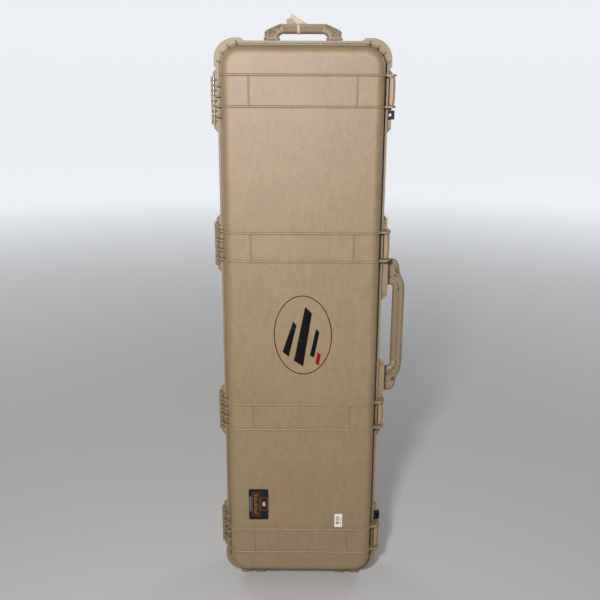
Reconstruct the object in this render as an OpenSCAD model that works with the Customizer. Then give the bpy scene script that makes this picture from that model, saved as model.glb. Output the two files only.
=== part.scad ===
// Long hard transport case, standing on its wheel end.
// Every piece is drawn in the lying frame: x across to the latches, y along the
// length from the wheel end, z up out of the parting plane into the lid.
// stand() then turns the case upright: lid to -Y, base to +Y, wheels down.

/* [Shell] */
// Length of the moulded shell, without its flange
shell_l = 1296; // [1000:2:1560]
// Width of the moulded shell, without its flange
shell_w = 356; // [300:2:430]
// Depth of the lid shell from the parting plane
lid_d = 44; // [38:1:60]
// Depth of the base shell from the parting plane
base_d = 105; // [98:1:140]
// Wall thickness of both shells
wall = 4.5; // [3:0.5:6]
// Radius of the shell's upright corners
corner_r = 44; // [36:1:60]
// Radius of the edge between a shell's face and its sides
edge_r = 19; // [12:1:22]

/* [Flange] */
// How far the flange stands out from the shell
rim = 10; // [9:0.5:12]
// Thickness of each flange
flange_t = 6; // [5:0.5:8]
// How far the rounded corner bumpers stand out past the flange
lobe_out = 6; // [3:0.5:9]
// Radius of the corner bumpers
lobe_r = 45; // [38:1:52]
// Height of the lip along the flange's edge
lip_h = 2.5; // [1:0.5:3]
// Width of that lip
lip_w = 5; // [4:0.5:6]
// Gap between the two flanges when the case is shut
part_gap = 0.3; // [0.1:0.1:0.6]

/* [Bands] */
// Distance from the shell's ends to the middle of the outer bands
band_end = 94; // [88:1:110]
// Distance from mid length to the middle of the inner bands
band_mid = 210; // [208:1:240]
// Height of the ribs on the shell's faces
rib_h = 3; // [2.5:0.25:3.5]
// Thickness of the ribs and of the fins at their ends
rib_t = 5; // [4:0.5:6]
// Distance from the shell's side to the short ribs inside a band
short_rib_in = 61; // [50:1:80]
// Thickness of the short ribs
short_rib_t = 4; // [3:0.5:5]

/* [Hinges] */
// Distance between neighbouring lid knuckles, a third of a band
knuckle_pitch = 22; // [21:0.5:24]
// Thickness of the lid's knuckles along the pin
lid_knuckle = 4.5; // [4:0.5:6]
// Thickness of the base's knuckles along the pin
base_knuckle = 3.5; // [3:0.5:5]
// Gap between a lid knuckle and the cradles beside it
knuckle_gap = 1; // [0.5:0.25:1.5]
// Distance from the flange's edge to the hinge pin's axis
hinge_out = 8.5; // [8:0.5:10]
// Radius of the hinge knuckles
knuckle_r = 6.5; // [5.5:0.25:7]
// Radius of the hinge pins
hinge_pin_r = 2.5; // [2:0.25:3]
// Length of the flange plate past the knuckles, at each end of a hinge
plate_end = 18; // [14:1:22]
// Radius of the dimples near the ends of the flange plates
plate_dimple_r = 2.5; // [1.5:0.25:3]

/* [Latches] */
// Distance from the flange's edge to the axis of the latch's lid pin
latch_out = 8; // [7.5:0.5:9]
// Height of the lid pin above the parting plane
latch_pin_z = 14; // [13:0.5:16]
// Distance down from the parting plane to the lever's pivot
lever_drop = 8; // [7:0.5:9]
// Radius of the barrel round the lid pin
latch_barrel_r = 6; // [5:0.25:6.5]
// Radius of the barrel round the lever's pivot
lever_barrel_r = 5; // [4.5:0.25:5.5]
// Radius of the latch pins
latch_pin_r = 2; // [1.5:0.25:2.5]
// Depth of the catch's lower face under the parting plane
catch_z = 20; // [19:0.5:22]
// Thickness of the catch bar
catch_t = 7; // [5:0.5:8]
// Overlap of the jaw under the catch
jaw_bite = 3.5; // [2.5:0.25:4]

/* [Handles] */
// Half length of the side handle, to the outside of its knuckles
side_half = 163; // [150:1:165]
// Width of each knuckle of the side handle
side_knuckle = 46; // [36:1:50]
// Reach of the side handle from its pivot
side_reach = 51; // [46:1:56]
// Thickness of the side handle
side_t = 16; // [13:0.5:18]
// Half length of the end handle, to the outside of its knuckles
end_half = 80; // [70:1:90]
// Width of each knuckle of the end handle
end_knuckle = 22; // [18:1:26]
// Reach of the end handle from its pivot
end_reach = 36; // [32:1:40]
// Thickness of the end handle
end_t = 14; // [12:0.5:16]
// Depth of both handles' pivots under the parting plane
handle_z = 35; // [32:1:38]
// Radius of the handle pins
handle_pin_r = 3; // [2.5:0.25:3.5]

/* [Wheels and feet] */
// Height of the corner bumpers above the floor
foot_h = 18; // [15:0.5:24]
// Distance from the shell's side in to the middle of the feet and wheels
foot_in = 54; // [50:1:60]
// Width of each foot
foot_w = 66; // [60:1:72]
// Depth of each foot behind the parting plane
foot_d = 52; // [48:1:54]
// Radius of the wheels
wheel_r = 24; // [20:0.5:26]
// Width of the wheels
wheel_w = 28; // [24:1:30]
// Clearance between a wheel and the floor while the case stands
wheel_lift = 3; // [2:0.5:5]
// Radius of the wheel axles
axle_r = 4; // [3:0.25:5]

/* [Foam] */
// Thickness of the solid pad in the bottom of the base
pad_t = 38; // [25:1:45]
// Clearance between foam and shell
foam_gap = 0.4; // [0.3:0.1:1]
// Width of the foam left beside the bays
bay_side = 53; // [40:1:80]
// Length of the foam left at each end, past the wheel wells
bay_end = 65; // [60:1:90]
// Length of the foam left between two bays
bay_web = 60; // [40:2:80]
// Length of the long middle bay
bay_l = 640; // [500:5:660]

/* [Valve] */
// Distance from mid length down to the pressure valve
valve_off = 352; // [300:2:370]
// Radius of the valve's outer disc
valve_r = 13; // [11:0.5:15]

/* [Hidden] */
$fn = 96;

run_gap = 0.06;            // radial clearance of every bore on its pin
seat_gap = 0.1;            // clearance round a piece that sits in a pocket
through = 1;               // how far a cut runs past the face it opens
floor_y = 0;               // the plane the case stands on

half_w = shell_w / 2;
flange_x = half_w + rim;
lobe_x = flange_x + lobe_out;
end_y = foot_h + lobe_out + rim;         // outside of the shell's wheel end
mid_y = end_y + shell_l / 2;
top_y = end_y + shell_l;                 // outside of the shell's handle end
lobe_top = top_y + rim + lobe_out;

band_ys = [
    end_y + band_end,
    mid_y - band_mid,
    mid_y + band_mid,
    top_y - band_end
];
rib_off = 1.5 * knuckle_pitch;           // a band's ribs line up with the outer knuckles
end_shift = knuckle_pitch;               // the outer hinges sit one knuckle nearer mid length
hinge_ys = band_ys + [end_shift, 0, 0, -end_shift];
knuckles_l = 5 * knuckle_pitch - 6;      // length of a hinge over its end knuckles
plate_l = knuckles_l + 2 * plate_end;
cradle_l = knuckle_pitch - lid_knuckle - 2 * knuckle_gap;
dimple_d = 2.5;                          // depth of the dimples in the flange plates

hinge_x = -(flange_x + hinge_out);
latch_x = flange_x + latch_out;
lever_x = latch_x + 1;
latch_half = rib_off - rib_t / 2 - 1;    // half the latch's length between its fins
fin_x = latch_x + 7;
catch_x = flange_x;
side_x = flange_x + 8;                   // axis of the side handle's pins
end_pivot_y = top_y + 11;                // axis of the end handle's pins

lock_x = flange_x + 6;
lock_hole_r = 3.75;
lock_steel = 1.5;                        // sheet of the padlock plates
eyelet_t = 1.25;                         // wall of the eyelet that lines the hole
lock_w = 16;                             // width of an ear along the flange
lock_edge = lock_x + 7.5;                // outer edge of an ear
lock_space = 6;                          // from a padlock plate to the nearest fin
lock_off = rib_off + rib_t / 2 + lock_space + lock_steel + lock_w / 2;
lock_ys = [band_ys[0] + lock_off, band_ys[3] - lock_off];

foot_x = half_w - foot_in;
short_rib_x = half_w - short_rib_in;

wheel_y = wheel_r + wheel_lift;
wheel_z = -(base_d - wheel_r + 2);
well_w = wheel_w + 6;
well_top = wheel_y + wheel_r + 3;
well_front = wheel_z + wheel_r + 3;

valve_z = -35;
valve_at = mid_y - valve_off;

hinge_reach = -hinge_x + knuckle_r;
side_grip_x = side_x + side_reach;
// the case stands centred over the origin
case_x = (hinge_reach - side_grip_x) / 2;
case_y = (lid_d - base_d) / 2;

module stand() {
    translate([case_x, case_y, 0]) rotate([90, 0, 0]) children();
}

// ---- shared outlines and solids ----

module rounded_rect(w, l, r) {
    square([w - 2 * r, l], center = true);
    square([w, l - 2 * r], center = true);
    for (sx = [-1, 1], sy = [-1, 1])
        translate([sx * (w / 2 - r), sy * (l / 2 - r)]) circle(r);
}

// a shell's section from its corner axis outwards
module edge_section(r, d, edge) {
    square([r, d - edge]);
    square([r - edge, d]);
    translate([r - edge, d - edge]) circle(edge);
}

// a shell's section across its whole width
module dome_section(w, d, edge) {
    for (s = [0, 1])
        mirror([s, 0]) {
            square([w / 2, d - edge]);
            square([w / 2 - edge, d]);
            translate([w / 2 - edge, d - edge]) circle(edge);
        }
}

// a solid tray, face up, its rim on z = 0: sides, ends and corners of one section
module tray(w, l, d, r, edge) {
    rotate([90, 0, 0])
        linear_extrude(height = l - 2 * r, center = true)
            intersection() {
                dome_section(w, d, edge);
                translate([-w / 2, 0]) square([w, d]);
            }
    for (s = [0, 1])
        mirror([0, s, 0]) translate([0, l / 2 - r, 0])
            rotate([90, 0, 90])
                linear_extrude(height = w - 2 * r, center = true)
                    intersection() {
                        edge_section(r, d, edge);
                        square([r, d]);
                    }
    for (sx = [0, 1], sy = [0, 1])
        mirror([sx, 0, 0]) mirror([0, sy, 0])
            translate([w / 2 - r, l / 2 - r, 0])
                rotate_extrude(angle = 90)
                    intersection() {
                        edge_section(r, d, edge);
                        square([r, d]);
                    }
}

// the flange with its four corner bumpers, each with sloping shoulders
module flange_outline() {
    shoulder = 14;
    rounded_rect(2 * flange_x, shell_l + 2 * rim, corner_r + rim);
    for (sx = [0, 1], sy = [0, 1])
        mirror([sx, 0]) mirror([0, sy])
            translate([lobe_x - lobe_r, shell_l / 2 + rim + lobe_out - lobe_r]) {
                circle(lobe_r);
                for (turn = [0, 1])
                    mirror([turn, -turn])
                        polygon([
                            [0, 0],
                            [0, lobe_r],
                            [-shoulder, lobe_r],
                            [-shoulder - lobe_out, lobe_r - lobe_out],
                            [-shoulder - lobe_out, 0]
                        ]);
            }
}

module lip_outline() {
    inner_x = flange_x - lip_w;
    difference() {
        flange_outline();
        rounded_rect(2 * inner_x, shell_l + 2 * (rim - lip_w), corner_r + rim - lip_w);
    }
}

// a flange plate, long side on the flange, outer corners chamfered
module plate_outline(length, out, cut = 10) {
    polygon([
        [half_w - 1, -length / 2],
        [out - cut, -length / 2],
        [out, -length / 2 + cut],
        [out, length / 2 - cut],
        [out - cut, length / 2],
        [half_w - 1, length / 2]
    ]);
}

// a bar of a given x-z section along y
module along_y(length) {
    rotate([90, 0, 0]) linear_extrude(height = length, center = true) children();
}

module pin(x, y, z, r, length) {
    translate([x, y, z]) rotate([90, 0, 0]) cylinder(r = r, h = length, center = true);
}

// one shell's outside, face up: dome, flange, bands and corner gussets
module shell_outside(d) {
    translate([0, mid_y, 0]) {
        tray(shell_w, shell_l, d, corner_r, edge_r);
        linear_extrude(height = flange_t) flange_outline();
        linear_extrude(height = flange_t + lip_h) lip_outline();
    }
    for (y = band_ys) {
        for (s = [-1, 1]) translate([0, y + s * rib_off, 0]) bead(d);
        for (s = [-1, 1])
            translate([s * short_rib_x, y, d + rib_h / 2 - short_rib_t / 2])
                rotate([90, 0, 0]) cylinder(r = short_rib_t / 2, h = 2 * rib_off, center = true);
    }
    for (sx = [0, 1], sy = [0, 1])
        translate([0, mid_y, 0]) mirror([sx, 0, 0]) mirror([0, sy, 0])
            translate([half_w - corner_r, shell_l / 2 - corner_r, 0])
                for (a = [12, 34, 56, 78]) rotate([0, 0, a]) gusset();
}

// a half-round rib over the dome, from flange to flange
module bead(d) {
    bead_r = rib_t / 2;
    up = rib_h - bead_r;                 // the bead's axis stands this far off the dome
    flat_x = half_w - edge_r;
    translate([0, 0, d + up]) rotate([0, 90, 0]) cylinder(r = bead_r, h = 2 * flat_x, center = true);
    for (s = [0, 1])
        mirror([s, 0, 0]) {
            translate([half_w + up, 0, 0]) cylinder(r = bead_r, h = d - edge_r);
            translate([flat_x, 0, d - edge_r]) rotate([90, 0, 0])
                rotate_extrude(angle = 90) translate([edge_r + up, 0]) circle(bead_r);
        }
}

// a small upright web between the shell's corner and its bumper
module gusset() {
    gusset_h = 24;
    gusset_t = 3;
    foot = corner_r + rim + 2;
    rotate([90, 0, 0])
        linear_extrude(height = gusset_t, center = true)
            polygon([
                [corner_r - 2, flange_t - 1],
                [foot, flange_t - 1],
                [foot, flange_t + lip_h + 1],
                [corner_r + 4, flange_t + lip_h + 5],
                [corner_r, gusset_h],
                [corner_r - 2, gusset_h]
            ]);
}

module shell_inside(d) {
    translate([0, mid_y, -through])
        tray(shell_w - 2 * wall, shell_l - 2 * wall, d - wall + through,
            corner_r - wall, edge_r - wall);
}

// the base's cradles run under the pin and leave its front bare
module cradle_section() {
    intersection() {
        hinge_web();
        translate([hinge_x - 20, 0]) square([half_w, 40]);
    }
}

// web from a knuckle to the shell, in the x-z section of a hinge
module hinge_web() {
    translate([hinge_x, 0]) circle(knuckle_r);
    polygon([
        [hinge_x, 0],
        [hinge_x, knuckle_r],
        [-flange_x - 1, 20],
        [-half_w + 1, 24],
        [-half_w + 1, 0]
    ]);
}

// ---- lid ----

// the fins each side of a latch carry its pin
module latch_fin() {
    polygon([
        [half_w - 1, 0],
        [fin_x - 4, 0],
        [fin_x, 4],
        [fin_x, latch_pin_z + 6],
        [fin_x - 8, latch_pin_z + 17],
        [half_w - 1, lid_d - edge_r + 6]
    ]);
}

module lock_ear(y) {
    translate([half_w - 1, y - lock_w / 2, 0])
        cube([lock_edge - half_w + 1, lock_w, flange_t]);
}

// the ear is open round the steel plate's eyelet
module lock_notch(y) {
    notch_r = lock_hole_r + eyelet_t + seat_gap;
    translate([lock_x - notch_r, y - notch_r, -through])
        cube([30, 2 * notch_r, flange_t + 2 * through]);
}

module gasket_outline(inset) {
    groove_x = flange_x - 5.5;
    groove_w = 4;
    translate([0, mid_y])
        difference() {
            rounded_rect(2 * (groove_x - inset), 2 * (groove_x - inset) + shell_l - shell_w,
                corner_r + groove_x - half_w - inset);
            rounded_rect(2 * (groove_x - groove_w + inset),
                2 * (groove_x - groove_w + inset) + shell_l - shell_w,
                corner_r + groove_x - groove_w - half_w + inset);
        }
}

module lid_shell() {
    color("tan")
    stand() difference() {
        union() {
            shell_outside(lid_d);
            for (y = hinge_ys, k = [-1.5, -0.5, 0.5, 1.5])
                translate([0, y + k * knuckle_pitch, 0]) along_y(lid_knuckle) hinge_web();
            for (y = band_ys, s = [-1, 1])
                translate([0, y + s * rib_off, 0]) along_y(rib_t) latch_fin();
            for (y = lock_ys) lock_ear(y);
        }
        shell_inside(lid_d);
        // the parting gap, outside the knuckles
        translate([-flange_x - 1, floor_y, -through])
            cube([2 * flange_x + 40, lobe_top + 1, through + part_gap]);
        translate([0, 0, part_gap]) linear_extrude(height = 4) gasket_outline(0);
        for (y = hinge_ys)
            pin(hinge_x, y, 0, hinge_pin_r + run_gap, 4 * knuckle_pitch);
        for (y = band_ys)
            pin(latch_x, y, latch_pin_z, latch_pin_r + run_gap, 4 * rib_off);
        for (y = lock_ys) lock_notch(y);
    }
}

module lid_gasket() {
    color("black")
    stand() translate([0, 0, part_gap]) linear_extrude(height = 4) gasket_outline(seat_gap);
}

module lid_foam() {
    foam_d = lid_d - wall - foam_gap;
    color("dimgray")
    stand() intersection() {
        translate([0, mid_y, 0])
            tray(shell_w - 2 * (wall + foam_gap), shell_l - 2 * (wall + foam_gap), foam_d,
                corner_r - wall - foam_gap, edge_r - wall);
        translate([-half_w, floor_y, 4]) cube([shell_w, top_y, lid_d]);
    }
}

// ---- padlock plates: steel caps over the ears, with an eyelet for a shackle ----

module lock_cap(y) {
    difference() {
        union() {
            difference() {
                translate([flange_x + 0.5, y - lock_w / 2 - lock_steel, part_gap])
                    cube([lock_edge + lock_steel - flange_x - 0.5, lock_w + 2 * lock_steel,
                        flange_t + lock_steel - part_gap]);
                translate([flange_x - 1, y - lock_w / 2, 0])
                    cube([lock_edge - flange_x + 1, lock_w, flange_t]);
            }
            translate([lock_x, y, part_gap])
                cylinder(r = lock_hole_r + eyelet_t, h = flange_t + lock_steel - part_gap);
        }
        translate([lock_x, y, -through]) cylinder(r = lock_hole_r, h = flange_t + 4);
    }
}

module lid_lock_plates() {
    color("silver") stand() for (y = lock_ys) lock_cap(y);
}

module base_lock_plates() {
    color("silver") stand() mirror([0, 0, 1]) for (y = lock_ys) lock_cap(y);
}

// ---- base ----

// the flange plate behind each hinge, cut back round the knuckles
module hinge_plate(y) {
    translate([0, y, 0]) mirror([1, 0, 0])
        difference() {
            linear_extrude(height = flange_t) plate_outline(plate_l, flange_x + 10);
            translate([flange_x, -knuckles_l / 2, -through])
                cube([20, knuckles_l, flange_t + 2]);
            plate_dimples();
        }
}

// a blind dimple near each end of a flange plate
module plate_dimples() {
    for (s = [-1, 1])
        translate([flange_x + 5, s * (plate_l - plate_end) / 2, -through])
            cylinder(r = plate_dimple_r, h = dimple_d + through);
}

// the flange plate behind each latch, cut back for the latch and the padlock cap
module latch_plate(y, latch_y) {
    cut_y = rib_off - rib_t / 2 + 0.5;
    difference() {
        translate([0, y, 0])
            linear_extrude(height = flange_t) plate_outline(plate_l, flange_x + 9);
        translate([flange_x, latch_y - cut_y, -through]) cube([20, 2 * cut_y, flange_t + 2]);
        for (lock = lock_ys)
            translate([flange_x, lock - 10, -through]) cube([20, 20, flange_t + 2]);
        translate([0, y, 0]) plate_dimples();
    }
}

// fins beside the latch carry the catch between them
module catch_fin() {
    polygon([
        [half_w - 1, 0],
        [fin_x - 3, 0],
        [fin_x - 3, catch_z + 10],
        [half_w - 1, catch_z + 30]
    ]);
}

module catch_bar(y) {
    translate([half_w - 1, y - rib_off, catch_z - catch_t])
        cube([catch_x - half_w + 1, 2 * rib_off, catch_t]);
}

side_dimple_r = 4.5;
side_plate_in = 75;
side_plate_out = side_half + 9;

// the flange plates above the side handle's knuckles, each with a round dimple
module side_plates() {
    for (s = [-1, 1])
        translate([0, mid_y + s * (side_plate_in + side_plate_out) / 2, 0])
            difference() {
                linear_extrude(height = flange_t)
                    plate_outline(side_plate_out - side_plate_in, side_x + 7, 12);
                translate([side_x - 1, -s * (side_plate_out - side_plate_in) / 2 + s * 14, -through])
                    cylinder(r = side_dimple_r, h = dimple_d + through);
            }
}

lug_t = 6.5;
lug_gap = 0.5;
side_lug_r = 8;
end_lug_r = 7;

// a lug's section: round about the pivot, running back to the wall
module lug_section(reach, r) {
    circle(r);
    translate([-reach, -r]) square([reach, 2 * r]);
}

module side_lugs() {
    for (s = [-1, 1], edge = [side_half, side_half - side_knuckle])
        translate([side_x, mid_y + s * (edge + (edge == side_half ? 1 : -1)
                * (lug_gap + lug_t / 2)), handle_z])
            along_y(lug_t) lug_section(side_x - half_w + 1, side_lug_r);
}

module end_lugs() {
    for (s = [-1, 1], edge = [end_half, end_half - end_knuckle])
        translate([s * (edge + (edge == end_half ? 1 : -1) * (lug_gap + lug_t / 2)),
                end_pivot_y, handle_z])
            rotate([0, 0, 90]) along_y(lug_t)
                lug_section(end_pivot_y - top_y + 1, end_lug_r);
}

// a foot: two round-cornered posts with a web between them
module foot() {
    post_w = foot_w / 2 - 5;
    post_r = 7;
    web_in = 8;                          // how far the web lies behind the posts' front
    for (s = [-1, 1])
        translate([s * (foot_w - post_w) / 2, end_y + 1, 1 + foot_d / 2])
            rotate([90, 0, 0])
                linear_extrude(height = end_y + 1 - floor_y)
                    rounded_rect(post_w, foot_d - 2, post_r);
    translate([-foot_w / 2 + post_r, floor_y, 1 + web_in])
        cube([foot_w - 2 * post_r, end_y + 1, foot_d - 2 * web_in]);
}

cheek_t = 9;

// cheeks that carry a wheel's axle, and the wall of its well inside the shell
module wheel_housing() {
    cheek_front = foot_d - 1;
    for (s = [-1, 1])
        translate([s * (well_w + cheek_t) / 2, 0, 0])
            translate([-cheek_t / 2, wheel_y - 13, cheek_front])
                cube([cheek_t, end_y - wheel_y + 14, base_d - 8 - cheek_front]);
    translate([-well_w / 2 - wall, end_y + 1, -well_front - wall])
        cube([well_w + 2 * wall, well_top + wall - end_y - 1, base_d + well_front + wall - 1]);
    translate([-foot_w / 2, wheel_y - 13, foot_d - 1])
        cube([foot_w, end_y - wheel_y + 14, -well_front - foot_d + 1]);
}

module wheel_well() {
    translate([-well_w / 2, floor_y - through, -well_front])
        cube([well_w, well_top + through, base_d + well_front + rib_h + through]);
}

module base_shell() {
    color("tan")
    stand() mirror([0, 0, 1]) difference() {
        union() {
            difference() {
                union() {
                    shell_outside(base_d);
                    for (y = hinge_ys, k = [-2, -1, 0, 1, 2])
                        translate([0, y + k * knuckle_pitch, 0]) {
                            along_y(base_knuckle) hinge_web();
                            along_y(cradle_l) cradle_section();
                        }
                    for (y = hinge_ys) hinge_plate(y);
                    for (k = [0:3]) latch_plate(hinge_ys[k], band_ys[k]);
                    for (y = band_ys, s = [-1, 1])
                        translate([0, y + s * rib_off, 0]) along_y(rib_t) catch_fin();
                    for (y = band_ys) catch_bar(y);
                    for (y = lock_ys) lock_ear(y);
                    side_plates();
                    side_lugs();
                    end_lugs();
                    for (s = [-1, 1]) translate([s * foot_x, 0, 0]) foot();
                }
                shell_inside(base_d);
            }
            for (s = [-1, 1]) translate([s * foot_x, 0, 0]) wheel_housing();
        }
        for (s = [-1, 1]) translate([s * foot_x, 0, 0]) wheel_well();
        for (y = hinge_ys)
            pin(hinge_x, y, 0, hinge_pin_r + run_gap, 6 * knuckle_pitch);
        for (y = lock_ys) lock_notch(y);
        for (s = [-1, 1])
            pin(side_x, mid_y + s * (side_half - side_knuckle / 2), handle_z,
                handle_pin_r + run_gap, side_knuckle + 30);
        for (s = [-1, 1])
            translate([s * (end_half - end_knuckle / 2), end_pivot_y, handle_z])
                rotate([0, 90, 0])
                    cylinder(r = handle_pin_r + run_gap, h = end_knuckle + 26, center = true);
        for (s = [-1, 1])
            translate([s * foot_x, wheel_y, -wheel_z]) rotate([0, 90, 0]) {
                cylinder(r = axle_r + run_gap, h = foot_w, center = true);
                for (m = [0, 1])
                    mirror([0, 0, m]) translate([0, 0, well_w / 2 + cheek_t])
                        cylinder(r = clip_r + 5 * seat_gap, h = clip_t + 2);
            }
        translate([half_w - wall - 6, valve_at, -valve_z]) rotate([0, 90, 0])
            cylinder(r = valve_stem_r + run_gap, h = wall + 12);
    }
}

module hinge_pins() {
    color("silver")
    stand() for (y = hinge_ys)
        pin(hinge_x, y, 0, hinge_pin_r, 4 * knuckle_pitch + cradle_l - 1);
}

// ---- foam ----

module base_cavity_foam() {
    translate([0, mid_y, 0])
        tray(shell_w - 2 * (wall + foam_gap), shell_l - 2 * (wall + foam_gap),
            base_d - wall - foam_gap, corner_r - wall - foam_gap, edge_r - wall);
}

module well_notches() {
    for (s = [-1, 1])
        translate([s * foot_x - well_w / 2 - wall - foam_gap, floor_y,
                -well_front - wall - foam_gap])
            cube([well_w + 2 * (wall + foam_gap), well_top + wall + foam_gap, base_d]);
}

pad_top = base_d - wall - pad_t;

module base_foam_pad() {
    color("dimgray")
    stand() mirror([0, 0, 1]) difference() {
        intersection() {
            base_cavity_foam();
            translate([-half_w, floor_y, pad_top]) cube([shell_w, top_y, base_d]);
        }
        well_notches();
    }
}

module base_foam_frame() {
    bay_w = shell_w - 2 * (wall + foam_gap + bay_side);
    end_bay_l = (shell_l - bay_l) / 2 - wall - foam_gap - bay_end - bay_web;
    end_bay_y = (bay_l + end_bay_l) / 2 + bay_web;
    color("gray")
    stand() mirror([0, 0, 1]) difference() {
        intersection() {
            base_cavity_foam();
            translate([-half_w, floor_y, 2]) cube([shell_w, top_y, pad_top - foam_gap - 2]);
        }
        well_notches();
        bay(0, bay_w, bay_l);
        for (s = [-1, 1]) bay(s * end_bay_y, bay_w, end_bay_l);
        translate([half_w - wall - 16, valve_at, -valve_z]) rotate([0, 90, 0])
            cylinder(r = valve_r + 3, h = 30);
    }
}

// a bay cut through the foam frame, with rounded corners
module bay(y, width, length) {
    translate([0, mid_y + y, -through])
        linear_extrude(height = base_d) rounded_rect(width, length, 16);
}

// ---- latches ----

module latch_pins() {
    color("silver")
    stand() for (y = band_ys)
        pin(latch_x, y, latch_pin_z, latch_pin_r, 2 * rib_off + rib_t);
}

arm_in = flange_x + 1.5;
arm_out = latch_x + 7;
lever_fork = 10.5;                       // width of each of the arm's two lever knuckles
latch_curve_r = 150;                     // the outer face bows out at mid length
blade_t = 2.8;                           // the arm's outer blade
blade_groove = 1.7;                      // and the groove behind it

// everything inside the latch's bowed outer face
module latch_front(out) {
    translate([out - latch_curve_r, 0, 0])
        cylinder(r = latch_curve_r, h = 120, center = true, $fn = 240);
}

// the arm: barrel on the lid pin, convex face, fork that carries the lever
module latch_arm(y) {
    lever_z = -lever_drop;
    face_r = 60;
    color("peru")
    stand() translate([0, y, 0]) difference() {
        union() {
            intersection() {
                along_y(2 * latch_half) {
                    translate([latch_x, latch_pin_z]) circle(latch_barrel_r);
                    intersection() {
                        translate([arm_in, lever_z + lever_barrel_r + 1.5])
                            square([arm_out - arm_in + 2,
                                latch_pin_z - lever_z - lever_barrel_r + 3.5]);
                        translate([arm_out - face_r, (latch_pin_z + lever_z) / 2])
                            circle(face_r, $fn = 240);
                    }
                }
                latch_front(arm_out);
            }
            for (s = [-1, 1])
                translate([0, s * (latch_half - lever_fork / 2), 0]) along_y(lever_fork) {
                    translate([lever_x, lever_z]) circle(lever_barrel_r);
                    translate([lever_x - lever_barrel_r, lever_z])
                        square([2 * lever_barrel_r, lever_barrel_r + 3]);
                }
        }
        // the groove that sets the outer blade apart from the barrel
        difference() {
            intersection() {
                translate([0, -latch_half - 1, latch_pin_z + latch_pin_r + 1])
                    cube([arm_out, 2 * latch_half + 2, 10]);
                latch_front(arm_out - blade_t);
            }
            latch_front(arm_out - blade_t - blade_groove);
        }
        pin(latch_x, 0, latch_pin_z, latch_pin_r + run_gap, 3 * latch_half);
        pin(lever_x, 0, lever_z, latch_pin_r + run_gap, 3 * latch_half);
    }
}

module lever_pin(y) {
    color("silver") stand() pin(lever_x, y, -lever_drop, latch_pin_r, 2 * latch_half - 2);
}

// the lever: knuckle in the arm's fork, pull tab below, jaw under the catch
module latch_lever(y) {
    lever_z = -lever_drop;
    jaw_top = -catch_z - 0.6;
    tab_z = -catch_z - 16;
    plate_in = lever_x - 3.5;
    plate_out = lever_x + 4.5;
    knuckle_half = latch_half - lever_fork - 0.5;
    color("peru")
    stand() translate([0, y, 0]) difference() {
        union() {
            along_y(2 * knuckle_half) {
                translate([lever_x, lever_z]) circle(lever_barrel_r);
                translate([lever_x - 3.5, lever_z - lever_barrel_r - 3])
                    square([8, lever_barrel_r + 3]);
            }
            along_y(2 * latch_half)
                polygon([
                    [plate_in, lever_z - lever_barrel_r - 1.5],
                    [plate_out - 1, lever_z - lever_barrel_r - 1.5],
                    [plate_out, lever_z - lever_barrel_r - 3],
                    [plate_out - 1, tab_z + 6],
                    [plate_out + 0.5, tab_z + 1],
                    [plate_out - 0.5, tab_z],
                    [plate_out - 4, tab_z + 2],
                    [plate_in, jaw_top - 7],
                    [catch_x - jaw_bite + 1, jaw_top - 4],
                    [catch_x - jaw_bite, jaw_top - 1.5],
                    [catch_x - jaw_bite, jaw_top],
                    [plate_in, jaw_top]
                ]);
        }
        pin(lever_x, 0, lever_z, latch_pin_r + run_gap, 3 * latch_half);
    }
}

module latch_arm_1() { latch_arm(band_ys[0]); }
module latch_arm_2() { latch_arm(band_ys[1]); }
module latch_arm_3() { latch_arm(band_ys[2]); }
module latch_arm_4() { latch_arm(band_ys[3]); }
module lever_pin_1() { lever_pin(band_ys[0]); }
module lever_pin_2() { lever_pin(band_ys[1]); }
module lever_pin_3() { lever_pin(band_ys[2]); }
module lever_pin_4() { lever_pin(band_ys[3]); }
module latch_lever_1() { latch_lever(band_ys[0]); }
module latch_lever_2() { latch_lever(band_ys[1]); }
module latch_lever_3() { latch_lever(band_ys[2]); }
module latch_lever_4() { latch_lever(band_ys[3]); }

// ---- handles: a moulded bow on two pins, with a soft sleeve on its bar ----

sleeve_t = 3;                            // thickness of the sleeve round the bar
sleeve_d = 14;                           // how far the sleeve reaches out from the opening
bevel = 3;                               // width of the lowered strip along a bow's edge
lug_clear = 1;                           // from a lug's round to the bow's blocks

side_open_x = side_half - side_knuckle - 13;
side_open_y = side_reach - 28;
side_corner = 6;
side_grip_l = 2 * (side_open_x - side_corner - 8);

end_open_x = end_half - end_knuckle - 4;
end_open_y = end_reach - 21;
end_corner = 11;
end_grip_l = 2 * (end_open_x - end_corner - 3);

// outer edge of the side handle from its block to mid length, drawn in by e
function side_edge(e) = [
    [side_half + 4 - e, side_lug_r + lug_clear],
    [side_half + 4 - e, side_reach - 28 - 0.4 * e],
    [side_half + 1 - 0.8 * e, side_reach - 20 - 0.7 * e],
    [side_half - 9 - 0.4 * e, side_reach - 15.5 - e],
    [side_half - 26 - 0.3 * e, side_reach - 12.5 - e],
    [side_half - 36 - 0.4 * e, side_reach - 9.5 - e],
    [side_half - 45 - 0.6 * e, side_reach - 4.5 - 0.8 * e],
    [side_half - 53 - 0.5 * e, side_reach - 1.5 - e],
    [side_half - 71, side_reach - e]
];

// the same for the end handle
function end_edge(e) = [
    [end_half + 5 - e, end_lug_r + lug_clear],
    [end_half + 5 - e, end_reach - 17 - 0.3 * e],
    [end_half + 1 - 0.7 * e, end_reach - 13.5 - 0.7 * e],
    [end_half - 10 - 0.4 * e, end_reach - 8.5 - e],
    [end_half - 30 - 0.2 * e, end_reach - e]
];

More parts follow.
